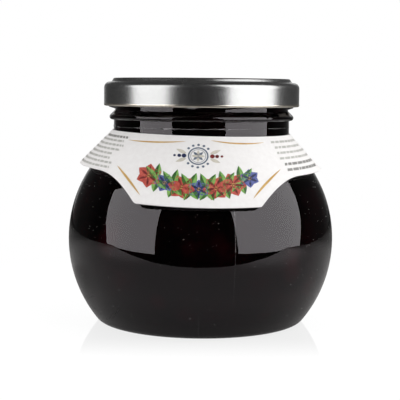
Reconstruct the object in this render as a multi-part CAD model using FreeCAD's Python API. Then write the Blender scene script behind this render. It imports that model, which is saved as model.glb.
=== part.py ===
"""Round glass jar of dark fruit in syrup with a twist-off lid and a paper collar.

Millimetres, +Z up, origin on the ground under the middle of the jar, front towards -Y.
"""
import FreeCAD, Part
import math
import os

from FreeCAD import Vector

# Glass body: the side is one large arc, with its centre near the jar's axis.
belly_radius = 45.0
belly_arc_radius = 43.1
belly_centre_height = 28.3
belly_wall = 2.8
heel_radius = 4.0
bearing_width = 3.5
push_up_height = 2.2
floor_height = 5.5
floor_corner_radius = 10.0

# Glass neck, from the shoulder up to the bead.
neck_radius = 29.75
neck_height = 6.0
neck_wall = 2.55
shoulder_fillet = 3.0
inner_shoulder_fillet = 5.5

# Bead, thread and rim of the neck.
bead_reach = 1.45
bead_round = 0.95
finish_step = 0.35
rim_round = 0.9
thread_count = 4
thread_depth = 2.0
thread_root_height = 2.4
thread_crest_height = 0.9
thread_pitch = 11.4
thread_start_deg = -9.0
thread_span_deg = 112.0
thread_ramp_deg = 9.0
thread_end_share = 0.15
thread_sink = 0.5

# Twist-off lid of thin sheet, with a raised panel and a curled lower edge.
lid_wall = 0.35
lid_skirt_height = 8.1
lid_above_bead = 1.45
lid_clearance = 1.3
lid_shoulder_round = 2.0
panel_ledge = 0.25
panel_rise = 1.25
panel_slope_deg = 60.0
panel_outer_round = 0.7
panel_inner_round = 0.5
panel_dome = 0.2
curl_radius = 0.6
curl_proud = 0.06
lug_width_deg = 15.0
lug_thickness = 0.65
lug_lift = 0.05
lug_clearance = 0.8
lug_thread_gap = 0.12
lug_under_thread_deg = 81.0

# Fruit in syrup.
headspace = 6.2

# Paper collar: a cone flared at the sides, with a wide lobe in front.
collar_thickness = 0.3
collar_fit = 0.15
collar_gap_top = 2.6
collar_gap_front = 0.7
collar_gap_side = 2.1
collar_band_length = 15.8
collar_lobe_length = 25.8
collar_lobe_half_deg = 25.5
collar_band_start_deg = 54.0
collar_curve_power = 2.2
collar_overlap_deg = 8.0
collar_pitch_deg = 0.75
collar_roll_deg = 1.1
collar_turn_deg = -0.7

# How finely the swept pieces follow their curves.
thread_section_step_deg = 7.0
collar_section_step_deg = 6.0

AXIS = Vector(0, 0, 1)
ORIGIN = Vector(0, 0, 0)

# The belly arc's centre, and where the heel and the shoulder meet it.
belly_centre = Vector(belly_radius - belly_arc_radius, 0, belly_centre_height)


def tangent_centre(radius, height, distance):
    """Distance from the axis of a point at this height, this far from the belly's centre."""
    return belly_centre.x + math.sqrt(distance ** 2 - (height - belly_centre.z) ** 2)


def tangent_height(radius, distance):
    """Height of a point at this radius, this far from the belly's centre and above it."""
    return belly_centre.z + math.sqrt(distance ** 2 - (radius - belly_centre.x) ** 2)


inner_arc_radius = belly_arc_radius - belly_wall
bore_radius = neck_radius - neck_wall
finish_radius = neck_radius - finish_step
bead_radius = neck_radius + bead_reach
thread_crest_radius = finish_radius + thread_depth
lid_inner_radius = thread_crest_radius + lid_clearance
lid_radius = lid_inner_radius + lid_wall
panel_radius = lid_radius - lid_shoulder_round - panel_ledge

neck_base = tangent_height(neck_radius + shoulder_fillet, belly_arc_radius + shoulder_fillet)
bead_base = neck_base + neck_height
bead_slope_run = bead_radius - bead_round * (1 - math.sqrt(0.5)) - finish_radius
bead_top = bead_base + bead_round * (1 + math.sqrt(0.5)) + bead_slope_run
lid_base = bead_top + lid_above_bead
lid_shoulder_height = lid_base + lid_skirt_height
panel_height = lid_shoulder_height + panel_rise
lug_top = lid_base + lug_lift + lug_thickness
rim_height = panel_height - lid_wall
fill_height = rim_height - headspace
collar_radius = neck_radius + collar_fit
collar_height = tangent_height(collar_radius, belly_arc_radius + collar_gap_top)


def point(radius, height):
    """Point of a turned profile."""
    return Vector(radius, 0, height)


def around(centre, radius, degrees):
    """Point on a circle of a turned profile; 0 degrees is outwards and 90 is up."""
    angle = math.radians(degrees)
    return centre + Vector(radius * math.cos(angle), 0, radius * math.sin(angle))


def line(start, end):
    return Part.LineSegment(start, end).toShape()


def arc(centre, radius, start_deg, end_deg):
    """Arc of a turned profile, from one angle to the other."""
    ends = [around(centre, radius, degrees) for degrees in (start_deg, end_deg)]
    middle = around(centre, radius, (start_deg + end_deg) / 2)
    return Part.Arc(ends[0], middle, ends[1]).toShape()


def direction_deg(start, end):
    """Angle of the line from one point of a turned profile to another."""
    return math.degrees(math.atan2(end.z - start.z, end.x - start.x))


def dome(edge_radius, edge_height, rise):
    """Radius and centre of a shallow dome over a round edge."""
    radius = (edge_radius ** 2 + rise ** 2) / (2 * rise)
    return radius, point(0, edge_height + rise - radius)


def close_profile(pieces):
    """Join arcs and lines in order, with a straight edge across every gap."""
    edges = []
    for piece, following in zip(pieces, pieces[1:] + pieces[:1]):
        edges.append(piece)
        here = piece.valueAt(piece.LastParameter)
        there = following.valueAt(following.FirstParameter)
        if here.distanceToPoint(there) > 1e-7:
            edges.append(line(here, there))
    return Part.Wire(edges)


def turn(pieces):
    """Solid turned about the axis from the edges of its profile."""
    return Part.Face(close_profile(pieces)).revolve(ORIGIN, AXIS, 360)


def outer_body():
    """Outside of the glass from the middle of the base to the top of the neck."""
    heel_distance = belly_arc_radius - heel_radius
    heel_centre = point(tangent_centre(0, heel_radius, heel_distance), heel_radius)
    fillet_centre = point(neck_radius + shoulder_fillet, neck_base)
    bearing_inner = heel_centre.x - bearing_width
    dome_radius, dome_centre = dome(bearing_inner, 0, push_up_height)
    heel_deg = direction_deg(belly_centre, heel_centre)
    fillet_deg = direction_deg(belly_centre, fillet_centre)
    return [
        arc(dome_centre, dome_radius, 90, direction_deg(dome_centre, point(bearing_inner, 0))),
        arc(heel_centre, heel_radius, -90, heel_deg),
        arc(belly_centre, belly_arc_radius, heel_deg, fillet_deg),
        arc(fillet_centre, shoulder_fillet, 180 + fillet_deg, 180),
    ]


def bead_and_rim():
    """Bead under the thread, and the rounded rim that the lid sits on."""
    bead_centre = point(bead_radius - bead_round, bead_base + bead_round)
    outer_rim = point(finish_radius - rim_round, rim_height - rim_round)
    inner_rim = point(bore_radius + rim_round, rim_height - rim_round)
    return [
        line(point(neck_radius, neck_base), point(neck_radius, bead_base)),
        arc(bead_centre, bead_round, -90, 45),
        line(point(finish_radius, bead_top), around(outer_rim, rim_round, 0)),
        arc(outer_rim, rim_round, 0, 90),
        arc(inner_rim, rim_round, 90, 180),
    ]


def inner_body():
    """Inside of the glass from the bore down to the middle of the floor."""
    fillet_distance = inner_arc_radius + inner_shoulder_fillet
    fillet_radius = bore_radius + inner_shoulder_fillet
    fillet_centre = point(fillet_radius, tangent_height(fillet_radius, fillet_distance))
    corner_height = floor_height + floor_corner_radius
    corner_distance = inner_arc_radius - floor_corner_radius
    corner_centre = point(tangent_centre(0, corner_height, corner_distance), corner_height)
    fillet_deg = direction_deg(belly_centre, fillet_centre)
    corner_deg = direction_deg(belly_centre, corner_centre)
    return [
        arc(fillet_centre, inner_shoulder_fillet, 180, 180 + fillet_deg),
        arc(belly_centre, inner_arc_radius, fillet_deg, corner_deg),
        arc(corner_centre, floor_corner_radius, corner_deg, -90),
        line(point(corner_centre.x, floor_height), point(0, floor_height)),
    ]


def thread_section(degrees, height, share):
    """Cross-section of the thread at one azimuth, a share of its full size."""
    root = finish_radius - thread_sink
    crest = finish_radius + thread_depth * share
    half_root = thread_root_height / 2 * math.sqrt(share)
    half_crest = thread_crest_height / 2 * math.sqrt(share)
    corners = [
        point(root, height - half_root),
        point(crest, height - half_crest),
        point(crest, height + half_crest),
        point(root, height + half_root),
    ]
    wire = Part.makePolygon(corners + corners[:1])
    wire.rotate(ORIGIN, AXIS, degrees)
    return wire


def thread(start_deg):
    """One thread of the neck: a ridge that climbs to the right and fades at both ends."""
    lug_deg = lug_under_thread_deg - lug_width_deg / 2
    climb = thread_pitch / 360
    middle_height = lug_top + lug_thread_gap + thread_root_height / 2 - climb * lug_deg
    count = round(thread_span_deg / thread_section_step_deg)
    sections = []
    for index in range(count + 1):
        travelled = thread_span_deg * index / count
        from_end = min(travelled, thread_span_deg - travelled)
        share = max(thread_end_share, min(1.0, from_end / thread_ramp_deg))
        height = middle_height + climb * travelled
        sections.append(thread_section(start_deg + travelled, height, share))
    return Part.makeLoft(sections, True, False)


def front_azimuth(degrees):
    """Turn an azimuth counted from the front, towards +X, into one counted from +X."""
    return degrees - 90


def make_jar():
    """The glass: body, neck, bead, rim and four threads in one piece."""
    body = turn(outer_body() + bead_and_rim() + inner_body())
    step = 360 / thread_count
    starts = [front_azimuth(thread_start_deg + step * index) for index in range(thread_count)]
    return body.multiFuse([thread(start) for start in starts])


def make_contents():
    """Fruit in syrup, filling the glass from wall to wall up to its level."""
    surface = line(point(0, fill_height), point(bore_radius, fill_height))
    return turn([surface] + inner_body())


def lid_outline(inset):
    """Edges of the lid's outside from its middle to its skirt, or of its inside."""
    slope = 90 - panel_slope_deg
    rounds = panel_outer_round + panel_inner_round
    drop_of_rounds = rounds * (1 - math.cos(math.radians(panel_slope_deg)))
    slope_length = (panel_rise - drop_of_rounds) / math.sin(math.radians(panel_slope_deg))
    run = rounds * math.sin(math.radians(panel_slope_deg))
    run += slope_length * math.cos(math.radians(panel_slope_deg))
    upper = point(panel_radius - run, panel_height - panel_outer_round)
    lower = point(panel_radius, lid_shoulder_height + panel_inner_round)
    shoulder = point(lid_radius - lid_shoulder_round, lid_shoulder_height - lid_shoulder_round)
    edge = around(upper, panel_outer_round - inset, 90)
    dome_radius, dome_centre = dome(edge.x, edge.z, panel_dome)
    return [
        arc(dome_centre, dome_radius, 90, direction_deg(dome_centre, edge)),
        arc(upper, panel_outer_round - inset, 90, slope),
        arc(lower, panel_inner_round + inset, 180 + slope, 270),
        arc(shoulder, lid_shoulder_round - inset, 90, 0),
    ]


def curl():
    """Rolled lower edge of the lid, from the outside of the skirt round to its inside."""
    centre = point(lid_radius + curl_proud - curl_radius, lid_base + curl_radius)
    outer_rise = math.sqrt(curl_radius ** 2 - (lid_radius - centre.x) ** 2)
    inner_rise = math.sqrt(curl_radius ** 2 - (lid_inner_radius - centre.x) ** 2)
    outer = point(lid_radius, centre.z + outer_rise)
    inner = point(lid_inner_radius, centre.z + inner_rise)
    return Part.Arc(outer, around(centre, curl_radius, -90), inner).toShape()


def reversed_edges(edges):
    """The same edges in the other order, each run from its end to its start."""
    turned = []
    for edge in reversed(edges):
        middle = edge.valueAt((edge.FirstParameter + edge.LastParameter) / 2)
        start = edge.valueAt(edge.FirstParameter)
        end = edge.valueAt(edge.LastParameter)
        turned.append(Part.Arc(end, middle, start).toShape())
    return turned


def lug(middle_deg):
    """One of the lid's inward lugs, which hooks under a thread."""
    inner = finish_radius + lug_clearance
    outer = lid_radius - curl_radius
    nose = point(inner + lug_thickness / 2, lug_top - lug_thickness / 2)
    edges = [
        arc(nose, lug_thickness / 2, 90, 270),
        line(point(outer, lug_top - lug_thickness), point(outer, lug_top)),
    ]
    face = Part.Face(close_profile(edges))
    face.rotate(ORIGIN, AXIS, middle_deg - lug_width_deg / 2)
    return face.revolve(ORIGIN, AXIS, lug_width_deg)


def make_lid():
    """Twist-off lid with its panel, skirt, curl and four lugs."""
    shell = turn(lid_outline(0) + [curl()] + reversed_edges(lid_outline(lid_wall)))
    step = 360 / thread_count
    first = front_azimuth(thread_start_deg + lug_under_thread_deg)
    return shell.multiFuse([lug(first + step * index) for index in range(thread_count)])


def collar_slope(gap):
    """Angle below level at which the paper passes the belly at this distance."""
    tangent = math.atan2(collar_radius - belly_centre.x, collar_height - belly_centre.z)
    lean = math.acos((belly_arc_radius + gap) / (belly_arc_radius + collar_gap_top))
    return tangent + lean


def collar_length(degrees):
    """Length of the paper down its slope, at an azimuth counted from the front."""
    beyond = (abs(degrees) - collar_lobe_half_deg) / (collar_band_start_deg - collar_lobe_half_deg)
    fall = (1 - min(1.0, max(0.0, beyond))) ** collar_curve_power
    return collar_band_length + (collar_lobe_length - collar_band_length) * fall


def collar_section(degrees, layers):
    """Cross-section of one or more layers of paper at an azimuth counted from the front."""
    share = math.cos(math.radians(degrees)) ** 2
    side_slope = collar_slope(collar_gap_side)
    slope = side_slope + (collar_slope(collar_gap_front) - side_slope) * share
    down = point(math.cos(slope), -math.sin(slope))
    out = point(math.sin(slope), math.cos(slope))
    top = point(collar_radius, collar_height)
    bottom = top + down * collar_length(degrees)
    thickness = out * (layers * collar_thickness)
    corners = [top, bottom, bottom + thickness, top + thickness]
    wire = Part.makePolygon(corners + corners[:1])
    wire.rotate(ORIGIN, AXIS, front_azimuth(degrees))
    return wire


def collar_stretch(start_deg, end_deg, layers):
    """The paper between two azimuths, as one smooth solid."""
    count = max(2, round((end_deg - start_deg) / collar_section_step_deg))
    step = (end_deg - start_deg) / count
    turns = [start_deg + step * index for index in range(count + 1)]
    sections = [collar_section(degrees, layers) for degrees in turns]
    return Part.makeLoft(sections, True, False)


def make_collar():
    """Paper collar round the neck, glued with an overlap at the back and slightly askew."""
    overlap_start = 180 - collar_overlap_deg / 2
    corners = [collar_lobe_half_deg, collar_band_start_deg, overlap_start]
    turns = [-degrees for degrees in reversed(corners)] + corners
    stretches = [collar_stretch(start, end, 1) for start, end in zip(turns, turns[1:])]
    overlap = collar_stretch(overlap_start, overlap_start + collar_overlap_deg, 2)
    collar = overlap.multiFuse(stretches)
    middle = point(0, collar_height)
    collar.rotate(middle, AXIS, collar_turn_deg)
    collar.rotate(middle, Vector(1, 0, 0), collar_pitch_deg)
    collar.rotate(middle, Vector(0, 1, 0), collar_roll_deg)
    return collar


def main():
    os.makedirs("parts", exist_ok=True)
    nodes = {
        "jar_glass": make_jar(),
        "fruit_in_syrup": make_contents(),
        "twist_lid": make_lid(),
        "paper_collar": make_collar(),
    }
    for name, shape in nodes.items():
        print(name, len(shape.Solids), shape.isValid(), round(shape.Volume / 1000, 3), "ml")
        shape.exportStep(f"parts/{name}.step")


main()
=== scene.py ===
"""Looks of a round jar of dark fruit in syrup with a twist-off lid and a paper collar.

Origin on the ground under the middle of the jar, +Z up, front towards -Y. Sizes of the jar are in
millimetres, as in the part's source, and mm() turns them into metres. Those of the camera, the
lamps and the light on the floor are in metres.
"""

import math
import random

import bmesh
import bpy
from mathutils import Matrix, Vector


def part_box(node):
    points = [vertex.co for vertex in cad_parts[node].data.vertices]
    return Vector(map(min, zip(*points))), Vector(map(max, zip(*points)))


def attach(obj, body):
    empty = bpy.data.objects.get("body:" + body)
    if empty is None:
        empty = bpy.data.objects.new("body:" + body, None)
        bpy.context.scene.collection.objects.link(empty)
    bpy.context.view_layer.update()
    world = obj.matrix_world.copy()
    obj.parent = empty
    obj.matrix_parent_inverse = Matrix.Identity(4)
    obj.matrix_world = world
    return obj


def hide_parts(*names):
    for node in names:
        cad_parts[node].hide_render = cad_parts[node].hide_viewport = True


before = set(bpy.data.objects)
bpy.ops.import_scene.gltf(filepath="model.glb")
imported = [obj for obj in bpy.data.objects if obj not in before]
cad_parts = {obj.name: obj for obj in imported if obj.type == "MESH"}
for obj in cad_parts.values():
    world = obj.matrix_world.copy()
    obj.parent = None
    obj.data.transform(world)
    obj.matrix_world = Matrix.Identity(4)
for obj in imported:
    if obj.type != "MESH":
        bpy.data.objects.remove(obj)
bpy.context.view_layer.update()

# Glass, as in the part's source.
BELLY_CENTRE = (1.9, 28.3)
INNER_ARC_RADIUS = 40.3
BORE_RADIUS = 27.2
INNER_SHOULDER_FILLET = 5.5
FLOOR_HEIGHT = 5.5
FLOOR_CORNER_RADIUS = 10.0
NECK_RADIUS = 29.75
BELLY_ARC_RADIUS = 43.1
HEEL_RADIUS = 4.0
SHOULDER_FILLET = 3.0
NECK_HEIGHT = 6.0

# Paper collar, as in the part's source.
COLLAR_THICKNESS = 0.3
COLLAR_FIT = 0.15
COLLAR_RADIUS = NECK_RADIUS + COLLAR_FIT
COLLAR_GAP_TOP = 2.6
COLLAR_GAP_FRONT = 0.7
COLLAR_GAP_SIDE = 2.1
BAND_LENGTH = 15.8
LOBE_LENGTH = 25.8
LOBE_HALF_DEG = 25.5
BAND_START_DEG = 54.0
CURVE_POWER = 2.2
OVERLAP_DEG = 8.0
COLLAR_TURN_DEG = -0.7
COLLAR_PITCH_DEG = 0.75
COLLAR_ROLL_DEG = 1.1

# How far the syrup reaches into the glass, so that no air shows between them, and the bevel
# round its top.
SYRUP_SINK = 0.15
SYRUP_BEVEL = 0.4

# Fruit in the syrup: how many pieces there are by the glass and how far apart, and where they end.
FRUIT_COUNT = 190
FRUIT_SPACING = 9.6
FRUIT_INNER_RADIUS = 12
FRUIT_TOP = 68
TRIES_PER_FRUIT = 60

# A clustered berry's drupelets, spread over it by the golden angle, in radians.
DRUPELET_COUNT = 42
DRUPELET_RADIUS = 1.55
GOLDEN_ANGLE = 2.39996

# How far the print lies off the paper, and the garland of flowers in it.
PRINT_LIFT = 0.05
GARLAND_MIDDLE = 0.1
GARLAND_DOWN = 19.3
GARLAND_BEND = 0.42
FLOWER_PITCH = 5.3
PETAL_COUNT = 6
BAR_GAP = 0.45

# Fine ridges and hairs on the glass: how far their feet sink in it, and how high a hair stands.
RIDGE_FOOT = 0.03
HAIR_HEIGHT = 0.04
SIDE_SEAM_DEG = 13.9
HEEL_SEAM_DEG = -0.6
DUST_TRIES = 1000

# Half the side of the floor.
FLOOR_HALF = 3000

# The camera, in metres: its place, how far it looks down, its roll and its lens.
CAMERA_PLACE = (-0.00026, -0.395, 0.0792)
CAMERA_DOWN_DEG = 5.51
CAMERA_ROLL_DEG = 0.5
CAMERA_LENS_MM = 104.2

# Soft maroon shadows in the syrup's colour, as of paler fruit: azimuth and rise on the belly in
# degrees, reach in millimetres, and strength.
PALE_FRUIT = (
    (-43, 2, 6.0, 0.45), (-40, 8, 6.0, 0.4), (-36, -13, 4.0, 0.15), (-19, -22, 4.0, 0.25),
    (-7, -29, 5.0, 0.2), (-5, 3, 4.0, 0.12), (8, 5, 4.5, 0.16), (11, 1, 4.0, 0.12),
    (42, -2, 5.0, 0.3), (43, -9, 5.5, 0.4), (58, -18, 6.0, 0.3), (34, -30, 4.0, 0.15),
    (96, 6, 6.0, 0.4), (123, -12, 5.0, 0.3), (158, 3, 6.0, 0.35), (187, -17, 6.0, 0.35),
    (221, 9, 5.0, 0.3), (254, -6, 6.0, 0.4), (283, 14, 5.0, 0.3),
)

# How bright the room is in reflections, at shares of the way from in front of the jar to behind.
ROOM_STOPS = (
    (0.6, 0.012), (0.72, 0.026), (0.84, 0.026), (0.92, 0.048), (0.955, 0.085), (0.972, 0.17),
    (0.985, 0.26),
)

# Sockets of a Mix node for colours, which share their names with those for numbers.
MIX_FIRST = 6
MIX_SECOND = 7
MIX_RESULT = 2


def mm(value):
    """A length or a place in millimetres as metres."""
    return value * 0.001


# ---------------------------------------------------------------- materials


def new_material(name):
    """A material with its node tree, its shader and its output."""
    material = bpy.data.materials.new(name)
    material.use_nodes = True
    tree = material.node_tree
    return material, tree, tree.nodes["Principled BSDF"], tree.nodes["Material Output"]


def set_values(shader, values):
    """Sets sockets of a shader by name."""
    for name, value in values.items():
        shader.inputs[name].default_value = value


def add_noise(tree, scale, detail, stretch=(1, 1, 1)):
    """Noise over the object's own coordinates, and its factor's socket."""
    place = tree.nodes.new("ShaderNodeTexCoord")
    mapping = tree.nodes.new("ShaderNodeMapping")
    mapping.inputs["Scale"].default_value = stretch
    noise = tree.nodes.new("ShaderNodeTexNoise")
    noise.inputs["Scale"].default_value = scale
    noise.inputs["Detail"].default_value = detail
    tree.links.new(place.outputs["Object"], mapping.inputs["Vector"])
    tree.links.new(mapping.outputs["Vector"], noise.inputs["Vector"])
    return noise.outputs["Fac"]


def add_ramp(tree, source, low, high, low_color, high_color):
    """A ramp of two colours over a factor."""
    ramp = tree.nodes.new("ShaderNodeValToRGB")
    ramp.color_ramp.elements[0].position = low
    ramp.color_ramp.elements[0].color = (*low_color, 1)
    ramp.color_ramp.elements[1].position = high
    ramp.color_ramp.elements[1].color = (*high_color, 1)
    tree.links.new(source, ramp.inputs["Fac"])
    return ramp.outputs["Color"]


def add_range(tree, source, low, high):
    """A factor spread between two values."""
    spread = tree.nodes.new("ShaderNodeMapRange")
    spread.inputs["To Min"].default_value = low
    spread.inputs["To Max"].default_value = high
    tree.links.new(source, spread.inputs["Value"])
    return spread.outputs["Result"]


def add_step(tree, source, start, end, low=0.0, high=1.0):
    """A value that goes smoothly from low to high while its source goes from start to end."""
    step = tree.nodes.new("ShaderNodeMapRange")
    step.interpolation_type = "SMOOTHSTEP"
    step.inputs["From Min"].default_value = start
    step.inputs["From Max"].default_value = end
    step.inputs["To Min"].default_value = low
    step.inputs["To Max"].default_value = high
    tree.links.new(source, step.inputs["Value"])
    return step.outputs["Result"]


def add_math(tree, operation, sources):
    """Several values joined in turn by one operation."""
    total = sources[0]
    for source in sources[1:]:
        node = tree.nodes.new("ShaderNodeMath")
        node.operation = operation
        tree.links.new(total, node.inputs[0])
        tree.links.new(source, node.inputs[1])
        total = node.outputs["Value"]
    return total


def add_distance(tree, centre):
    """Distance from a place, in metres."""
    place = tree.nodes.new("ShaderNodeTexCoord")
    distance = tree.nodes.new("ShaderNodeVectorMath")
    distance.operation = "DISTANCE"
    tree.links.new(place.outputs["Object"], distance.inputs[0])
    distance.inputs[1].default_value = centre
    return distance.outputs["Value"]


def add_axes(tree, space="Object"):
    """X, Y and Z: of a place in metres, or of a direction for the world's Generated space."""
    place = tree.nodes.new("ShaderNodeTexCoord")
    axes = tree.nodes.new("ShaderNodeSeparateXYZ")
    tree.links.new(place.outputs[space], axes.inputs["Vector"])
    return axes.outputs


def add_mix(tree, factor, first, second):
    """Two shaders mixed by a factor."""
    mix = tree.nodes.new("ShaderNodeMixShader")
    tree.links.new(factor, mix.inputs["Fac"])
    tree.links.new(first, mix.inputs[1])
    tree.links.new(second, mix.inputs[2])
    return mix.outputs["Shader"]


def add_blend(tree, factor, source, color):
    """A colour that turns into a plain one by a factor."""
    blend = tree.nodes.new("ShaderNodeMix")
    blend.data_type = "RGBA"
    tree.links.new(factor, blend.inputs["Factor"])
    tree.links.new(source, blend.inputs[MIX_FIRST])
    blend.inputs[MIX_SECOND].default_value = (*color, 1)
    return blend.outputs[MIX_RESULT]


def add_glow(tree, color=(1, 1, 1)):
    """A glow of strength 1, as a node, so that its strength can be set or linked."""
    glow = tree.nodes.new("ShaderNodeEmission")
    glow.inputs["Color"].default_value = (*color, 1)
    return glow


def add_bump(tree, shader, source, distance):
    """Relief from a factor, in metres."""
    bump = tree.nodes.new("ShaderNodeBump")
    bump.inputs["Distance"].default_value = distance
    tree.links.new(source, bump.inputs["Height"])
    tree.links.new(bump.outputs["Normal"], shader.inputs["Normal"])


def glass_material():
    """Clear pressed glass, with the slight waviness of its mould."""
    material, tree, shader, _ = new_material("clear_glass")
    set_values(shader, {
        "Base Color": (0.97, 0.98, 0.975, 1),
        "Roughness": 0.0,
        "IOR": 1.56,
        "Specular Tint": (1.0, 0.94, 0.99, 1),
        "Transmission Weight": 1.0,
    })
    add_bump(tree, shader, add_noise(tree, 38, 1.0, (1, 1, 0.6)), mm(0.04))
    return material


def lid_material():
    """Satin lacquered tinplate, rolled so that its grain runs one way.

    It is painted lighter and warmer at its lower edge, as a painted reflection of the floor in its
    curl. Its raised panel is darker and duller, and reflects less at a glancing angle, so that it
    keeps its outline from behind.
    """
    material, tree, shader, _ = new_material("satin_tinplate")
    set_values(shader, {"Metallic": 0.97})
    height = add_axes(tree)["Z"]
    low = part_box("twist_lid")[0].z
    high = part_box("twist_lid")[1].z
    panel_start = high - mm(0.7)
    panel_full = high - mm(0.35)
    sheet = add_ramp(
        tree, add_noise(tree, 60, 4.0), 0.3, 0.7, (0.445, 0.445, 0.442), (0.485, 0.485, 0.482)
    )
    # Painted reflection of the floor in the curl: the lower edge is lighter and warmer.
    edge = add_step(tree, height, low + mm(1.1), low + mm(0.7))
    sheet_and_painted_curl = add_blend(tree, edge, sheet, (0.72, 0.67, 0.59))
    panel = add_step(tree, height, panel_start, panel_full)
    color = add_blend(tree, panel, sheet_and_painted_curl, (0.38, 0.38, 0.378))
    tree.links.new(color, shader.inputs["Base Color"])
    grain = add_noise(tree, 900, 2.0, (1, 0.12, 1))
    duller = add_step(tree, height, panel_start, panel_full, 0.0, 0.12)
    roughness = add_math(tree, "ADD", [add_range(tree, grain, 0.21, 0.29), duller])
    tree.links.new(roughness, shader.inputs["Roughness"])
    glare = add_step(tree, height, panel_start, panel_full, 1.0, 0.35)
    tree.links.new(glare, shader.inputs["Specular Tint"])
    add_bump(tree, shader, grain, mm(0.004))
    return material


def level_way(turn):
    """The level direction away from the jar's axis, at an azimuth in radians."""
    return Vector((math.sin(turn), -math.cos(turn), 0))


def wall_place(turn_deg, rise_deg):
    """A place on the belly's inside, in millimetres, from its azimuth and its rise."""
    radius, height = arc_points(BELLY_CENTRE, INNER_ARC_RADIUS, rise_deg, rise_deg, 1)[0]
    turn = math.radians(turn_deg)
    return Vector((radius * math.sin(turn), -radius * math.cos(turn), height))


def syrup_material():
    """Opaque, near-black syrup, with soft maroon shadows in its colour, as of paler fruit."""
    material, tree, shader, _ = new_material("dark_syrup")
    set_values(shader, {"Roughness": 0.3, "IOR": 1.36, "Specular IOR Level": 0.0})
    place = tree.nodes.new("ShaderNodeTexCoord")
    cells = tree.nodes.new("ShaderNodeTexVoronoi")
    cells.feature = "SMOOTH_F1"
    cells.inputs["Scale"].default_value = 120
    tree.links.new(place.outputs["Object"], cells.inputs["Vector"])
    near = add_range(tree, cells.outputs["Distance"], 1.0, 0.0)
    patches = add_math(tree, "MULTIPLY", [near, add_noise(tree, 45, 2.0)])
    color = add_ramp(tree, patches, 0.22, 0.5, (0.0009, 0.0005, 0.0004), (0.0042, 0.0005, 0.0008))
    shadows = []
    for turn_deg, rise_deg, radius, strength in PALE_FRUIT:
        away = add_distance(tree, mm(wall_place(turn_deg, rise_deg)))
        shadows.append(add_step(tree, away, mm(radius), mm(0.2 * radius), 0.0, strength))
    shaded = add_blend(tree, add_math(tree, "ADD", shadows), color, (0.028, 0.001, 0.003))
    tree.links.new(shaded, shader.inputs["Base Color"])
    return material


def fruit_material(name, dark, light):
    """Steeped fruit skin, blotched with lighter spots."""
    material, tree, shader, _ = new_material(name)
    set_values(shader, {"Roughness": 0.5, "IOR": 1.36, "Specular IOR Level": 0.0})
    color = add_ramp(tree, add_noise(tree, 170, 3.0), 0.35, 0.7, dark, light)
    tree.links.new(color, shader.inputs["Base Color"])
    return material


def paper_material():
    """White coated label paper with a faint tooth."""
    material, tree, shader, _ = new_material("label_paper")
    set_values(shader, {"Roughness": 0.5, "IOR": 1.45, "Specular IOR Level": 0.35})
    color = add_ramp(
        tree, add_noise(tree, 700, 5.0), 0.3, 0.7, (0.795, 0.775, 0.767), (0.835, 0.82, 0.812)
    )
    tree.links.new(color, shader.inputs["Base Color"])
    add_bump(tree, shader, add_noise(tree, 4200, 3.0), mm(0.006))
    return material


def ink_material(name, dark, light, scale=500):
    """Printed ink, slightly uneven."""
    material, tree, shader, _ = new_material(name)
    set_values(shader, {"Roughness": 0.45, "Specular IOR Level": 0.35})
    color = add_ramp(tree, add_noise(tree, scale, 4.0), 0.35, 0.68, dark, light)
    tree.links.new(color, shader.inputs["Base Color"])
    return material


# ------------------------------------------------------------------- pieces


def add_piece(name, mesh, material, smooth=True):
    """An object of the jar, which rides with its one body."""
    piece = bpy.data.objects.new(name, mesh)
    bpy.context.scene.collection.objects.link(piece)
    mesh.materials.append(material)
    if smooth:
        mesh.shade_smooth()
    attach(piece, "root")
    return piece


def mesh_of(name, points, faces):
    """A mesh from points in millimetres."""
    mesh = bpy.data.meshes.new(name)
    mesh.from_pydata([[mm(value) for value in point] for point in points], [], faces)
    mesh.update()
    return mesh


def merged(parts):
    """Points and faces of several forms, as one list of each."""
    points = []
    faces = []
    for part_points, part_faces in parts:
        start = len(points)
        points += part_points
        faces += [tuple(start + index for index in face) for face in part_faces]
    return points, faces


def arc_points(centre, radius, start_deg, end_deg, count):
    """Points along an arc in the plane of radius and height."""
    turns = [start_deg + (end_deg - start_deg) * index / count for index in range(count + 1)]
    return [
        (
            centre[0] + radius * math.cos(math.radians(turn)),
            centre[1] + radius * math.sin(math.radians(turn)),
        )
        for turn in turns
    ]


def turned_mesh(name, outline):
    """A closed mesh turned from an outline that starts and ends on the axis."""
    count = 160
    side = outline[1:-1]
    points = [(0, 0, outline[0][1])]
    for radius, height in side:
        for index in range(count):
            turn = 2 * math.pi * index / count
            points.append((radius * math.sin(turn), -radius * math.cos(turn), height))
    points.append((0, 0, outline[-1][1]))
    faces = []
    for index in range(count):
        after = (index + 1) % count
        faces.append((0, 1 + after, 1 + index))
        for row in range(len(side) - 1):
            low = 1 + row * count
            high = low + count
            faces.append((low + index, low + after, high + after, high + index))
        last = 1 + (len(side) - 1) * count
        faces.append((last + index, last + after, len(points) - 1))
    return mesh_of(name, points, faces)


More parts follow.
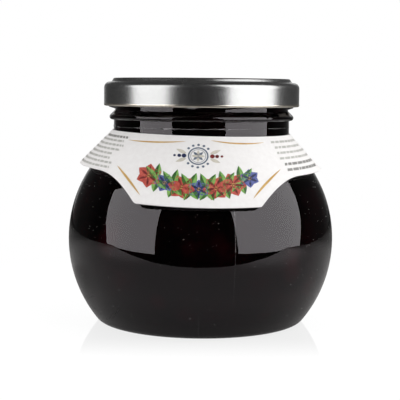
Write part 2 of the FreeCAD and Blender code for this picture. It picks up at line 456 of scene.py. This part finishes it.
def syrup_outline(sink):
    """Outline of the jar's inside, grown into the glass by sink, up to the fill level."""
    arc_radius = INNER_ARC_RADIUS + sink
    corner = FLOOR_CORNER_RADIUS
    corner_z = FLOOR_HEIGHT + corner
    reach = INNER_ARC_RADIUS - corner
    corner_r = BELLY_CENTRE[0] + math.sqrt(reach ** 2 - (corner_z - BELLY_CENTRE[1]) ** 2)
    fillet_r = BORE_RADIUS + INNER_SHOULDER_FILLET
    reach = INNER_ARC_RADIUS + INNER_SHOULDER_FILLET
    fillet_z = BELLY_CENTRE[1] + math.sqrt(reach ** 2 - (fillet_r - BELLY_CENTRE[0]) ** 2)
    low_deg = math.degrees(math.atan2(corner_z - BELLY_CENTRE[1], corner_r - BELLY_CENTRE[0]))
    high_deg = math.degrees(math.atan2(fillet_z - BELLY_CENTRE[1], fillet_r - BELLY_CENTRE[0]))
    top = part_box("fruit_in_syrup")[1].z * 1000
    outline = [(0, FLOOR_HEIGHT - sink)]
    outline += arc_points((corner_r, corner_z), corner + sink, -90, low_deg, 14)
    outline += arc_points(BELLY_CENTRE, arc_radius, low_deg, high_deg, 60)[1:]
    shoulder = INNER_SHOULDER_FILLET - sink
    outline += arc_points((fillet_r, fillet_z), shoulder, high_deg - 180, -180, 12)[1:]
    wall = BORE_RADIUS + sink
    outline += [(wall, top - SYRUP_BEVEL), (wall - SYRUP_BEVEL, top), (0, top)]
    return outline


def wall_spots(rng, outline, count, spacing):
    """Places on the jar's inside with the way out of it, spread without crowding."""
    runs = []
    for start, end in zip(outline, outline[1:]):
        runs.append((math.dist(start, end) * (start[0] + end[0]), Vector(start), Vector(end)))
    spots = []
    for _ in range(count * TRIES_PER_FRUIT):
        _, start, end = rng.choices(runs, [run[0] for run in runs])[0]
        radius, height = start.lerp(end, rng.random())
        run = (end - start).normalized()
        turn = rng.uniform(0, 2 * math.pi)
        ahead = level_way(turn)
        place = ahead * radius + Vector((0, 0, height))
        if all((place - other).length > spacing for other, _ in spots):
            spots.append((place, ahead * run.y - Vector((0, 0, run.x))))
        if len(spots) == count:
            break
    return spots


def ball_shape(level):
    """Points and faces of a round ball of radius 1."""
    shape = bmesh.new()
    bmesh.ops.create_icosphere(shape, subdivisions=level, radius=1)
    points = [vert.co.copy() for vert in shape.verts]
    faces = [tuple(vert.index for vert in face.verts) for face in shape.faces]
    shape.free()
    return points, faces


def balls_mesh(name, balls, level):
    """One mesh of many balls, each a centre, a radius and how much it is squashed."""
    ball_points, ball_faces = ball_shape(level)
    parts = []
    for centre, radius, squash in balls:
        size = Vector((1, 1, 1 - squash)) * radius
        parts.append(([centre + point * size for point in ball_points], ball_faces))
    return mesh_of(name, *merged(parts))


def berry_mesh(name, spots, rng):
    """Round berries by the glass, each ending just behind the syrup's face."""
    balls = []
    for place, out in spots:
        radius = rng.uniform(3.2, 4.8)
        touch = rng.uniform(-0.3, 0.1)
        balls.append((place + out * (touch - radius), radius, rng.uniform(0, 0.1)))
    return balls_mesh(name, balls, 3)


def drupe_mesh(name, spots, rng):
    """Clustered berries of small drupelets by the glass, each ending behind the syrup's face."""
    balls = []
    for place, out in spots:
        radius = rng.uniform(5.0, 6.2)
        touch = rng.uniform(0.02, 0.1)
        centre = place + out * (touch - radius - DRUPELET_RADIUS)
        for index in range(DRUPELET_COUNT):
            level = 1 - 2 * (index + 0.5) / DRUPELET_COUNT
            turn = index * GOLDEN_ANGLE + rng.uniform(-0.12, 0.12)
            side = math.sqrt(1 - level * level)
            away = Vector((side * math.cos(turn), side * math.sin(turn), level))
            size = DRUPELET_RADIUS * rng.uniform(0.93, 1.07)
            balls.append((centre + away * radius, size, 0))
    return balls_mesh(name, balls, 2)


# ------------------------------------------------------------------- collar


def collar_height():
    """Height of the collar's upper edge, where it is COLLAR_GAP_TOP off the belly."""
    reach = BELLY_ARC_RADIUS + COLLAR_GAP_TOP
    return BELLY_CENTRE[1] + math.sqrt(reach ** 2 - (COLLAR_RADIUS - BELLY_CENTRE[0]) ** 2)


def collar_slope(gap):
    """Angle below level at which the paper passes the belly at this distance."""
    tangent = math.atan2(COLLAR_RADIUS - BELLY_CENTRE[0], collar_height() - BELLY_CENTRE[1])
    return tangent + math.acos((BELLY_ARC_RADIUS + gap) / (BELLY_ARC_RADIUS + COLLAR_GAP_TOP))


def collar_length(degrees):
    """Length of the paper down its slope, at an azimuth counted from the front."""
    beyond = (abs(degrees) - LOBE_HALF_DEG) / (BAND_START_DEG - LOBE_HALF_DEG)
    fall = (1 - min(1.0, max(0.0, beyond))) ** CURVE_POWER
    return BAND_LENGTH + (LOBE_LENGTH - BAND_LENGTH) * fall


def collar_askew():
    """The turn that puts the collar on slightly askew."""
    middle = Matrix.Translation((0, 0, collar_height()))
    turn = Matrix.Rotation(math.radians(COLLAR_TURN_DEG), 4, "Z")
    pitch = Matrix.Rotation(math.radians(COLLAR_PITCH_DEG), 4, "X")
    roll = Matrix.Rotation(math.radians(COLLAR_ROLL_DEG), 4, "Y")
    return middle @ roll @ pitch @ turn @ middle.inverted()


COLLAR_TOP = collar_height()
SIDE_SLOPE = collar_slope(COLLAR_GAP_SIDE)
FRONT_SLOPE = collar_slope(COLLAR_GAP_FRONT)
ASKEW = collar_askew()


def collar_point(degrees, down, lift):
    """A point of the paper, in millimetres: down its slope, and lifted off its inner face."""
    share = math.cos(math.radians(degrees)) ** 2
    slope = SIDE_SLOPE + (FRONT_SLOPE - SIDE_SLOPE) * share
    radius = COLLAR_RADIUS + math.cos(slope) * down + math.sin(slope) * lift
    height = COLLAR_TOP - math.sin(slope) * down + math.cos(slope) * lift
    turn = math.radians(degrees)
    return ASKEW @ Vector((radius * math.sin(turn), -radius * math.cos(turn), height))


def collar_mesh():
    """The paper as one closed strip, whose end laps over its start at the back."""
    start = -180 + OVERLAP_DEG / 2
    end = 180 + OVERLAP_DEG / 2
    columns = 300
    rows = 8
    points = []
    for column in range(columns + 1):
        degrees = start + (end - start) * column / columns
        over = min(1.0, max(0.0, (degrees - (180 - OVERLAP_DEG)) / (OVERLAP_DEG / 2)))
        base = COLLAR_THICKNESS * over * over * (3 - 2 * over)
        folded = degrees if degrees <= 180 else degrees - 360
        for side in (0, 1):
            for row in range(rows + 1):
                down = collar_length(folded) * row / rows
                points.append(collar_point(degrees, down, base + side * COLLAR_THICKNESS))
    faces = []
    width = 2 * (rows + 1)
    for column in range(columns):
        here = column * width
        there = here + width
        for row in range(rows):
            outer = row + rows + 1
            faces.append((here + row, here + row + 1, there + row + 1, there + row))
            faces.append((here + outer, there + outer, there + outer + 1, here + outer + 1))
        top = rows + 1
        faces.append((here, there, there + top, here + top))
        faces.append((here + rows, here + rows + top, there + rows + top, there + rows))
    for column in (0, columns):
        here = column * width
        for row in range(rows):
            quad = (here + row, here + row + rows + 1, here + row + rows + 2, here + row + 1)
            faces.append(quad if column == 0 else tuple(reversed(quad)))
    return mesh_of("collar_paper", points, faces)


def add_collar():
    """The paper collar in place of its plain solid."""
    piece = add_piece("collar_paper", collar_mesh(), paper_material())
    piece.data.set_sharp_from_angle(angle=math.radians(40))
    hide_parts("paper_collar")


# -------------------------------------------------------------------- print


def print_point(across, down):
    """A point just above the paper, from distances in millimetres along it and down it."""
    radius = COLLAR_RADIUS + math.cos(FRONT_SLOPE) * down
    return collar_point(math.degrees(across / radius), down, COLLAR_THICKNESS + PRINT_LIFT)


def disc(centre, radius, count):
    """A round dot, as triangles round its centre."""
    points = [centre]
    for index in range(count):
        turn = 2 * math.pi * index / count
        points.append((centre[0] + radius * math.cos(turn), centre[1] + radius * math.sin(turn)))
    return points, [(0, 1 + (index + 1) % count, 1 + index) for index in range(count)]


def strip(rows):
    """Points in pairs along a shape, and the faces between them."""
    count = len(rows) // 2 - 1
    return rows, [
        (2 * index, 2 * index + 1, 2 * index + 3, 2 * index + 2) for index in range(count)
    ]


def leaf(root, turn_deg, length, width, side=0):
    """An almond-shaped leaf or petal from its root, or only its half on side 1 or -1."""
    turn = math.radians(turn_deg)
    along = Vector((math.cos(turn), math.sin(turn)))
    across = Vector((-along.y, along.x))
    count = 10
    rows = []
    for index in range(count + 1):
        share = index / count
        half = 0.5 * width * math.sin(math.pi * share ** 0.85)
        middle = Vector(root) + along * (length * share)
        low = middle if side > 0 else middle - across * half
        high = middle if side < 0 else middle + across * half
        rows += [tuple(low), tuple(high)]
    return strip(rows)


def stroke(stops, width, count=24):
    """A tapered line from the first stop to the third, drawn towards the second."""
    first, second, third = (Vector(stop) for stop in stops)
    rows = []
    for index in range(count + 1):
        share = index / count
        middle = first * (1 - share) ** 2 + second * (2 * share * (1 - share)) + third * share ** 2
        along = ((second - first) * (1 - share) + (third - second) * share).normalized()
        half = Vector((-along.y, along.x)) * (0.5 * width * math.sin(math.pi * share) ** 0.7)
        rows += [tuple(middle - half), tuple(middle + half)]
    return strip(rows)


def ring(centre, radius, width):
    """A thin circle."""
    count = 36
    rows = []
    for index in range(count):
        turn = 2 * math.pi * index / count
        for reach in (radius - width / 2, radius + width / 2):
            rows.append((centre[0] + reach * math.cos(turn), centre[1] + reach * math.sin(turn)))
    return rows, [
        (2 * index, (2 * index + 2) % (2 * count), (2 * index + 3) % (2 * count), 2 * index + 1)
        for index in range(count)
    ]


def dash(start, end, down, height):
    """A short bar, split so that it follows the paper."""
    count = max(1, round((end - start) / 1.5))
    rows = []
    for index in range(count + 1):
        across = start + (end - start) * index / count
        rows += [(across, down), (across, down + height)]
    return strip(rows)


def add_print(name, material, shapes):
    """Shapes of one ink laid on the paper."""
    laid = [([print_point(*point) for point in points], faces) for points, faces in shapes]
    mesh = mesh_of(name, *merged(laid))
    inside = Vector((0, 0, 0.04))
    shape = bmesh.new()
    shape.from_mesh(mesh)
    inward = [
        face for face in shape.faces if face.normal.dot(face.calc_center_median() - inside) < 0
    ]
    bmesh.ops.reverse_faces(shape, faces=inward)
    shape.to_mesh(mesh)
    shape.free()
    add_piece(name, mesh, material, smooth=False)


def garland():
    """A plain garland of small flowers, with leaves between them, by ink."""
    inks = ("red", "dark_red", "blue", "dark_blue", "green", "dark_green", "gold")
    shapes = {ink: [] for ink in inks}
    for index in range(-3, 4):
        across = GARLAND_MIDDLE + index * FLOWER_PITCH
        down = GARLAND_DOWN - GARLAND_BEND * index * index
        if index in (-2, 0, 3):
            petals, shade, size = "blue", "dark_blue", 3.4
        else:
            petals, shade, size = "red", "dark_red", 4.4
        heart = Vector((across, down))
        for turn in range(PETAL_COUNT):
            facing = 360 * turn / PETAL_COUNT + 18 * index - 90
            ahead = Vector((math.cos(math.radians(facing)), math.sin(math.radians(facing))))
            vein = [heart, heart + ahead * (0.35 * size), heart + ahead * (0.85 * size)]
            shapes[petals].append(leaf(heart, facing, size, size * 0.84))
            shapes[shade].append(stroke(vein, 0.8, 8))
        shapes["gold"].append(disc((across, down), 0.6, 12))
    for index in range(-3, 3):
        across = GARLAND_MIDDLE + (index + 0.5) * FLOWER_PITCH
        down = GARLAND_DOWN - GARLAND_BEND * (index + 0.5) ** 2
        for facing in (-112, -66, 62, 118):
            tilt = facing + 6 * index
            length = 6.0 if facing < 0 else 4.6
            shapes["green"].append(leaf((across, down), tilt, length, 2.3, 1))
            shapes["dark_green"].append(leaf((across, down), tilt, length, 2.3, -1))
    return shapes


def small_ornament():
    """A ring round a plain star, dots above and below it and a sprig on each side, by ink."""
    centre = Vector((-0.4, 7.4))
    rings = [ring(centre, 3.0, 0.45), ring(centre, 2.35, 0.14)]
    shapes = {"grey_blue": rings, "sand": [], "dark_blue": [], "dark_red": []}
    for turn in range(8):
        ink = "grey_blue" if turn % 2 else "sand"
        shapes[ink].append(leaf(centre, 45 * turn, 2.1, 0.9))
    for turn in range(-2, 3):
        for facing in (-90, 90):
            away = math.radians(facing + 24 * turn)
            spot = centre + Vector((math.cos(away), math.sin(away))) * 4.1
            shapes["grey_blue"].append(disc(spot, 0.42, 14))
    for side, ink in ((-1, "dark_blue"), (1, "dark_red")):
        for index, radius in enumerate((0.75, 0.6, 0.42)):
            shapes[ink].append(disc(centre + Vector((side * (4.4 + 1.5 * index), 0)), radius, 14))
        for lift in (-1, 1):
            root = centre + Vector((side * 3.7, lift * 0.9))
            shapes["sand"].append(leaf(root, 90 - side * 90 + lift * side * 24, 3.6, 1.2))
    return shapes


def bars(rng, left_deg, right_deg, top, rows, pitch, height):
    """Rows of short grey bars in place of small print, between two azimuths."""
    shapes = []
    for row in range(rows):
        down = top + row * pitch
        reach = COLLAR_RADIUS + math.cos(FRONT_SLOPE) * down
        left = math.radians(left_deg) * reach
        right = math.radians(right_deg) * reach
        across = left + rng.uniform(0, 0.6)
        end = right - rng.uniform(0, 0.12) * (right - left)
        while across < end:
            length = rng.uniform(0.9, 3.0)
            shapes.append(dash(across, min(end, across + length), down, height))
            across += length + BAR_GAP
    return shapes


def add_prints():
    """The collar's print in plain shapes of its own: strokes, an ornament, a garland and bars."""
    inks = {
        "red": ink_material("ink_red", (0.36, 0.045, 0.035), (0.6, 0.12, 0.085), 900),
        "dark_red": ink_material("ink_dark_red", (0.1, 0.01, 0.01), (0.2, 0.02, 0.018)),
        "blue": ink_material("ink_blue", (0.06, 0.075, 0.26), (0.13, 0.16, 0.42), 900),
        "dark_blue": ink_material("ink_dark_blue", (0.012, 0.016, 0.05), (0.03, 0.04, 0.11)),
        "green": ink_material("ink_green", (0.13, 0.33, 0.06), (0.24, 0.46, 0.12), 900),
        "dark_green": ink_material("ink_dark_green", (0.025, 0.09, 0.02), (0.07, 0.19, 0.04)),
        "gold": ink_material("ink_gold", (0.5, 0.3, 0.08), (0.63, 0.4, 0.13)),
        "grey_blue": ink_material("ink_grey_blue", (0.09, 0.12, 0.17), (0.16, 0.19, 0.25)),
        "sand": ink_material("ink_sand", (0.5, 0.47, 0.4), (0.62, 0.58, 0.5)),
        "grey": ink_material("ink_grey", (0.42, 0.42, 0.39), (0.56, 0.55, 0.52), 1500),
        "dark_grey": ink_material("ink_dark_grey", (0.2, 0.2, 0.19), (0.36, 0.35, 0.33), 1500),
    }
    shapes = {ink: [] for ink in inks}
    for part in (garland(), small_ornament()):
        for ink, added in part.items():
            shapes[ink] += added
    shapes["gold"] += [
        stroke([(-25.6, 3.0), (-14.5, 3.4), (-4.3, 2.1)], 0.55),
        stroke([(3.3, 1.5), (12.5, 3.3), (22.0, 2.3)], 0.55),
        stroke([(-28.0, 13.2), (-23.0, 16.8), (-18.2, 22.8)], 0.85),
        stroke([(27.6, 12.8), (21.5, 16.8), (17.2, 22.8)], 0.85),
    ]
    rng = random.Random(11)
    shapes["grey"] += bars(rng, -88, -47, 3.4, 7, 1.75, 0.8)
    shapes["dark_grey"] += bars(rng, -80, -47, 1.7, 1, 1.0, 0.9)
    shapes["grey"] += bars(rng, 46, 84, 1.9, 4, 2.15, 0.85)
    shapes["dark_grey"] += bars(rng, 47, 84, 10.6, 2, 2.15, 1.0)
    for ink, material in inks.items():
        add_print("print_" + ink, material, shapes[ink])


# ------------------------------------------------------- marks on the glass


def arc_side(centre, radius, start_deg, end_deg, count):
    """Points along an arc, each with the way out of it."""
    return [
        (place, ((place[0] - centre[0]) / radius, (place[1] - centre[1]) / radius))
        for place in arc_points(centre, radius, start_deg, end_deg, count)
    ]


def belly_side(start_deg, end_deg, count):
    """Points and ways out along the outside of the belly, as radius and height."""
    return arc_side(BELLY_CENTRE, BELLY_ARC_RADIUS, start_deg, end_deg, count)


def heel_side(count):
    """Points and ways out along the outside of the heel, and the belly's lower end angle."""
    reach = BELLY_ARC_RADIUS - HEEL_RADIUS
    centre_r = BELLY_CENTRE[0] + math.sqrt(reach ** 2 - (HEEL_RADIUS - BELLY_CENTRE[1]) ** 2)
    low_deg = math.degrees(math.atan2(HEEL_RADIUS - BELLY_CENTRE[1], centre_r - BELLY_CENTRE[0]))
    return arc_side((centre_r, HEEL_RADIUS), HEEL_RADIUS, -75, low_deg, count), low_deg


def ridge(spine, half_width, height):
    """A fine ridge: for each spine point its place, way out, way across and share of height."""
    points = []
    for place, out, across, share in spine:
        points.append(place - across * half_width - out * RIDGE_FOOT)
        points.append(place + out * height * share)
        points.append(place + across * half_width - out * RIDGE_FOOT)
    faces = [(0, 1, 2)]
    for index in range(len(spine) - 1):
        here = 3 * index
        there = here + 3
        faces.append((here, there, there + 1, here + 1))
        faces.append((here + 1, there + 1, there + 2, here + 2))
        faces.append((here + 2, there + 2, there, here))
    last = 3 * (len(spine) - 1)
    faces.append((last + 2, last + 1, last))
    return points, faces


def upright_ridge(side, turn_deg, half_width, height):
    """A ridge up the side of the glass, fading out at both ends."""
    turn = math.radians(turn_deg)
    ahead = level_way(turn)
    across = Vector((math.cos(turn), math.sin(turn), 0))
    spine = []
    for index, ((radius, level), (out_r, out_z)) in enumerate(side):
        share = min(1.0, 4 * min(index, len(side) - 1 - index) / len(side) + 0.1)
        place = ahead * radius + Vector((0, 0, level))
        spine.append((place, ahead * out_r + Vector((0, 0, out_z)), across, share))
    return ridge(spine, half_width, height)


def neck_ridge(rng):
    """The uneven parting line round the neck, in stretches of different heights."""
    reach = BELLY_ARC_RADIUS + SHOULDER_FILLET
    side = NECK_RADIUS + SHOULDER_FILLET - BELLY_CENTRE[0]
    level = BELLY_CENTRE[1] + math.sqrt(reach ** 2 - side ** 2) + 0.63 * NECK_HEIGHT
    spine = []
    bulge = 0.5
    for index in range(361):
        turn = math.radians(index)
        bulge = min(1.0, max(0.12, bulge + rng.uniform(-0.34, 0.34)))
        share = 0.5 if index in (0, 360) else bulge
        wander = 0.0 if index in (0, 360) else rng.uniform(-0.05, 0.05)
        out = level_way(turn)
        place = out * NECK_RADIUS + Vector((0, 0, level + wander))
        spine.append((place, out, Vector((0, 0, 1)), share))
    return ridge(spine, 0.17, 0.17)


def joined(name, parts):
    """One mesh from several closed forms in millimetres."""
    mesh = mesh_of(name, *merged(parts))
    shape = bmesh.new()
    shape.from_mesh(mesh)
    bmesh.ops.recalc_face_normals(shape, faces=shape.faces)
    shape.to_mesh(mesh)
    shape.free()
    return mesh


def belly_frame(turn_deg, rise_deg):
    """A place on the outside of the belly, and the way out of it."""
    turn = math.radians(turn_deg)
    rise = math.radians(rise_deg)
    ahead = level_way(turn)
    out = ahead * math.cos(rise) + Vector((0, 0, math.sin(rise)))
    place = ahead * BELLY_CENTRE[0] + Vector((0, 0, BELLY_CENTRE[1])) + out * BELLY_ARC_RADIUS
    return place, out


def hairline(stops, half_width):
    """A fine dark hair on the belly, its three stops by azimuth and rise, as for a stroke."""
    count = 14
    spine = []
    first, second, third = (Vector(stop) for stop in stops)
    for index in range(count + 1):
        share = index / count
        here = first * (1 - share) ** 2 + second * (2 * share * (1 - share)) + third * share ** 2
        spine.append(belly_frame(here.x, here.y))
    parts = []
    for index, (place, out) in enumerate(spine):
        before = spine[max(0, index - 1)][0]
        after = spine[min(count, index + 1)][0]
        parts.append((place, out, out.cross((after - before).normalized()), 1.0))
    return ridge(parts, half_width, HAIR_HEIGHT)


def dust_spots(rng):
    """Specks of dust as small balls sunk in the outside of the belly, fewer on its lower half."""
    balls = []
    for _ in range(DUST_TRIES):
        rise_deg = rng.uniform(-34, 47)
        if rise_deg < 0 and rng.random() < 0.72:
            continue
        place, _ = belly_frame(rng.uniform(0, 360), rise_deg)
        balls.append((place, 0.05 + 0.065 * rng.random() ** 2, 0.3))
    return balls


def add_marks():
    """Mould seams of the glass, specks of dust on it and a few fine hairs by its heel."""
    heel, low_deg = heel_side(10)
    heel_run = heel + belly_side(low_deg, low_deg + 14, 12)[1:]
    belly_run = belly_side(low_deg + 12, 46, 80)
    seams = [upright_ridge(belly_run, SIDE_SEAM_DEG + turn, 0.07, 0.045) for turn in (0, 180)]
    seams += [upright_ridge(heel_run, HEEL_SEAM_DEG + turn, 0.06, 0.04) for turn in (0, 180)]
    seams.append(neck_ridge(random.Random(3)))
    seam_mesh = joined("mould_seams", seams)
    add_piece("mould_seams", seam_mesh, glass_material(), smooth=False)
    hairs = joined("fine_hairs", [
        hairline([(-74, -26.5), (-62, -24.6), (-54, -22.0)], 0.08),
        hairline([(-67, -29.8), (-63, -29.8), (-60, -30.8)], 0.09),
        hairline([(-57, -35.4), (-43, -31.5), (-39, -25.0)], 0.09),
    ])
    hair = ink_material("hair", (0.006, 0.005, 0.005), (0.02, 0.018, 0.018))
    add_piece("fine_hairs", hairs, hair)
    dust = ink_material("dust", (0.45, 0.44, 0.42), (0.6, 0.59, 0.57))
    dust_mesh = balls_mesh("dust_specks", dust_spots(random.Random(4)), 1)
    add_piece("dust_specks", dust_mesh, dust)


# -------------------------------------------------------------------- stage


def white_floor(tree):
    """What the camera sees: white, with the jar's shadow and its faint mirror image."""
    shade = tree.nodes.new("ShaderNodeBsdfDiffuse")
    shade.inputs["Color"].default_value = (0.1, 0.1, 0.1, 1)
    glow = add_glow(tree)
    glow.inputs["Strength"].default_value = 0.925
    lit = tree.nodes.new("ShaderNodeAddShader")
    tree.links.new(glow.outputs["Emission"], lit.inputs[0])
    tree.links.new(shade.outputs["BSDF"], lit.inputs[1])
    mirror = tree.nodes.new("ShaderNodeBsdfGlossy")
    mirror.inputs["Color"].default_value = (1, 1, 1, 1)
    mirror.inputs["Roughness"].default_value = 0.02
    axes = add_axes(tree)
    away = add_distance(tree, (0, 0, 0))
    fade = add_math(tree, "MULTIPLY", [
        add_step(tree, axes["Y"], -0.068, -0.03, 0.0, 0.14),
        add_step(tree, axes["Y"], 0.05, 0.02),
        add_step(tree, away, 0.09, 0.06),
    ])
    near = add_mix(tree, fade, lit.outputs["Shader"], mirror.outputs["BSDF"])
    far = add_step(tree, away, 0.08, 0.15)
    return add_mix(tree, far, near, add_glow(tree).outputs["Emission"])


def painted_table_light(tree):
    """Painted light on the table, as its glow shows in reflections: a level that falls off,
    the jar's painted shadow and two painted pools of lamp light.
    """
    axes = add_axes(tree)
    side = tree.nodes.new("ShaderNodeMath")
    side.operation = "ABSOLUTE"
    tree.links.new(axes["X"], side.inputs[0])
    level = add_math(tree, "MULTIPLY", [
        # Painted shadow of the jar, darker next to its foot.
        add_step(tree, add_distance(tree, (0, 0, 0)), 0.034, 0.056, 0.24, 0.35),
        # Painted fall-off of the lamps' light: darker to the back in two stages, and a little
        # darker to both sides.
        add_step(tree, axes["Y"], 0.06, 0.22, 1.0, 0.4),
        add_step(tree, axes["Y"], 0.22, 0.5, 1.0, 0.2),
        add_step(tree, side.outputs["Value"], 0.15, 0.4, 1.0, 0.75),
        # A soft painted shadow of the jar, to its left.
        add_step(tree, add_distance(tree, (-0.06, 0.03, 0)), 0.02, 0.05, 0.7, 1.0),
    ])
    # Two painted pools of the lamps' light, to the left and right in front of the jar.
    left = add_step(tree, add_distance(tree, (-0.24, -0.19, 0)), 0.2, 0.11, 0.0, 0.33)
    right = add_step(tree, add_distance(tree, (0.23, -0.19, 0)), 0.215, 0.12, 0.0, 0.5)
    return add_math(tree, "ADD", [level, left, right])


def table_extent(tree):
    """Where the table is that the jar reflects: it ends in front of the jar and to its sides."""
    axes = add_axes(tree)
    return add_math(tree, "MULTIPLY", [
        add_step(tree, axes["X"], -0.465, -0.455),
        add_step(tree, axes["X"], 0.4, 0.39),
        add_step(tree, axes["Y"], -0.1185, -0.116),
    ])


def floor_material():
    """Pale floor: white to the camera, and to the jar and its light a small table, whose glow in
    reflections is painted light and shadow.
    """
    material, tree, shader, output = new_material("pale_floor")
    set_values(shader, {
        "Base Color": (0.5, 0.495, 0.49, 1),
        "Roughness": 1.0,
        "Specular IOR Level": 0,
    })
    path = tree.nodes.new("ShaderNodeLightPath").outputs
    # In reflections the table is a glow with painted light and shadow, not lit by the lamps.
    glow = add_glow(tree, (1, 0.985, 0.975))
    tree.links.new(painted_table_light(tree), glow.inputs["Strength"])
    beyond = tree.nodes.new("ShaderNodeBsdfTransparent")
    seen = add_mix(tree, path["Is Glossy Ray"], shader.outputs["BSDF"], glow.outputs["Emission"])
    table = add_mix(tree, table_extent(tree), beyond.outputs["BSDF"], seen)
    both = add_mix(tree, path["Is Camera Ray"], table, white_floor(tree))
    tree.links.new(both, output.inputs["Surface"])
    return material


def add_floor():
    """The floor, a plain square that ends far out of sight."""
    corners = [(x * FLOOR_HALF, y * FLOOR_HALF, 0) for x, y in ((-1, -1), (1, -1), (1, 1), (-1, 1))]
    mesh = mesh_of("floor", corners, [(0, 1, 2, 3)])
    mesh.materials.append(floor_material())
    floor = bpy.data.objects.new("floor", mesh)
    bpy.context.scene.collection.objects.link(floor)


def backdrop_light(tree, axes):
    """Where reflections meet the white backdrop: low behind the jar, and a strip to its left."""
    behind = add_step(tree, axes["Y"], 0.5, 0.7)
    low = add_math(tree, "MULTIPLY", [
        behind,
        add_step(tree, axes["Z"], 0.13, 0.175),
        add_step(tree, axes["Z"], 0.3, 0.25),
        add_step(tree, axes["X"], -0.36, -0.22),
        add_step(tree, axes["X"], 0.36, 0.22),
    ])
    strip = add_math(tree, "MULTIPLY", [
        behind,
        add_step(tree, axes["X"], -0.45, -0.4, 0.0, 0.17),
        add_step(tree, axes["X"], -0.1, -0.2),
        add_step(tree, axes["Z"], 0.12, 0.0),
    ])
    return add_math(tree, "ADD", [low, strip])


def add_room(tree, axes):
    """Colour of the surroundings in reflections: dim, and paler towards the backdrop behind."""
    share = tree.nodes.new("ShaderNodeMapRange")
    share.inputs["From Min"].default_value = -1
    tree.links.new(axes["Y"], share.inputs["Value"])
    ramp = tree.nodes.new("ShaderNodeValToRGB")
    ramp.color_ramp.elements[0].color = (0.006, 0.006, 0.0065, 1)
    ramp.color_ramp.elements[1].color = (0.4, 0.4, 0.4, 1)
    for position, value in ROOM_STOPS:
        stop = ramp.color_ramp.elements.new(position)
        stop.color = (value, value, value, 1)
    tree.links.new(share.outputs["Result"], ramp.inputs["Fac"])
    return add_blend(tree, backdrop_light(tree, axes), ramp.outputs["Color"], (1, 1, 1))


def add_background(tree):
    """A white background, as a node, so that its colour and strength can be linked."""
    background = tree.nodes.new("ShaderNodeBackground")
    background.inputs["Color"].default_value = (1, 1, 1, 1)
    return background


def add_world():
    """White behind the jar for the camera, a dim room in its reflections, and soft fill light."""
    world = bpy.data.worlds.new("studio")
    bpy.context.scene.world = world
    world.use_nodes = True
    tree = world.node_tree
    tree.nodes.clear()
    output = tree.nodes.new("ShaderNodeOutputWorld")
    path = tree.nodes.new("ShaderNodeLightPath").outputs
    axes = add_axes(tree, "Generated")
    white = add_background(tree).outputs["Background"]
    fill = add_background(tree)
    tree.links.new(add_step(tree, axes["Y"], -0.75, 0.3, 0.15, 1.0), fill.inputs["Strength"])
    room = add_background(tree)
    tree.links.new(add_room(tree, axes), room.inputs["Color"])
    around = add_mix(
        tree, path["Is Glossy Ray"], fill.outputs["Background"], room.outputs["Background"]
    )
    seen = add_math(tree, "MAXIMUM", [path["Is Camera Ray"], path["Is Transmission Ray"]])
    tree.links.new(add_mix(tree, seen, around, white), output.inputs["Surface"])


def add_softbox(name, centre, across, upward, width, height, radiance):
    """A soft lamp whose face spans two directions, and which shines against their cross product."""
    lamp = bpy.data.lights.new(name, "AREA")
    lamp.shape = "RECTANGLE"
    lamp.size = width
    lamp.size_y = height
    lamp.energy = radiance * math.pi * width * height
    across = Vector(across).normalized()
    upward = (Vector(upward) - across * across.dot(Vector(upward))).normalized()
    back = across.cross(upward)
    place = Matrix((across, upward, back)).transposed().to_4x4()
    place.translation = Vector(centre)
    holder = bpy.data.objects.new(name, lamp)
    holder.matrix_world = place
    holder.visible_camera = False
    bpy.context.scene.collection.objects.link(holder)


def add_lamps():
    """Two soft lamps, left and right of the camera."""
    add_softbox(
        "lamp_left", centre=(-0.636, -0.243, 0.2165), across=(0.794, -0.607, -0.032),
        upward=(0.275, 0.312, 0.909), width=0.739, height=0.6, radiance=2.15,
    )
    add_softbox(
        "lamp_right", centre=(0.6165, -0.191, 0.306), across=(0.725, 0.688, -0.002),
        upward=(-0.287, 0.305, 0.908), width=0.954, height=0.8, radiance=2.4,
    )


def add_camera():
    """The camera in front of the jar, a little below the lid's top, rolled by a hair."""
    lens = bpy.data.cameras.new("camera")
    lens.sensor_width = 36
    lens.lens = CAMERA_LENS_MM
    lens.clip_start = 0.01
    holder = bpy.data.objects.new("camera", lens)
    pitch = Matrix.Rotation(math.radians(90 - CAMERA_DOWN_DEG), 4, "X")
    roll = Matrix.Rotation(math.radians(CAMERA_ROLL_DEG), 4, "Z")
    holder.matrix_world = Matrix.Translation(CAMERA_PLACE) @ pitch @ roll
    bpy.context.scene.collection.objects.link(holder)
    bpy.context.scene.camera = holder


def dress_frame():
    """Finishes of the solids that stay as they are."""
    for node, material in (("jar_glass", glass_material()), ("twist_lid", lid_material())):
        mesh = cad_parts[node].data
        for index in range(len(mesh.materials)):
            mesh.materials[index] = material


def add_contents():
    """Syrup up to the fill level, with fruit sunk in it by the glass."""
    mesh = turned_mesh("syrup", syrup_outline(SYRUP_SINK))
    piece = add_piece("syrup", mesh, syrup_material())
    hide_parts("fruit_in_syrup")
    rng = random.Random(7)
    outline = [
        (radius, height) for radius, height in syrup_outline(0)
        if radius > FRUIT_INNER_RADIUS and height < FRUIT_TOP
    ]
    spots = wall_spots(rng, outline, FRUIT_COUNT, FRUIT_SPACING)
    clusters = [spot for index, spot in enumerate(spots) if index % 3 == 0]
    berries = [spot for index, spot in enumerate(spots) if index % 3]
    skin = fruit_material("berry_skin", (0.0014, 0.0006, 0.0005), (0.0075, 0.0007, 0.0016))
    add_piece("sunk_berries", berry_mesh("sunk_berries", berries, rng), skin)
    skin = fruit_material("drupe_skin", (0.0018, 0.0006, 0.0006), (0.009, 0.0009, 0.0018))
    add_piece("sunk_drupes", drupe_mesh("sunk_drupes", clusters, rng), skin)


add_camera()
add_world()
add_lamps()
add_floor()
dress_frame()
add_contents()
add_collar()
add_prints()
add_marks()
bpy.context.scene.view_settings.view_transform = "Standard"
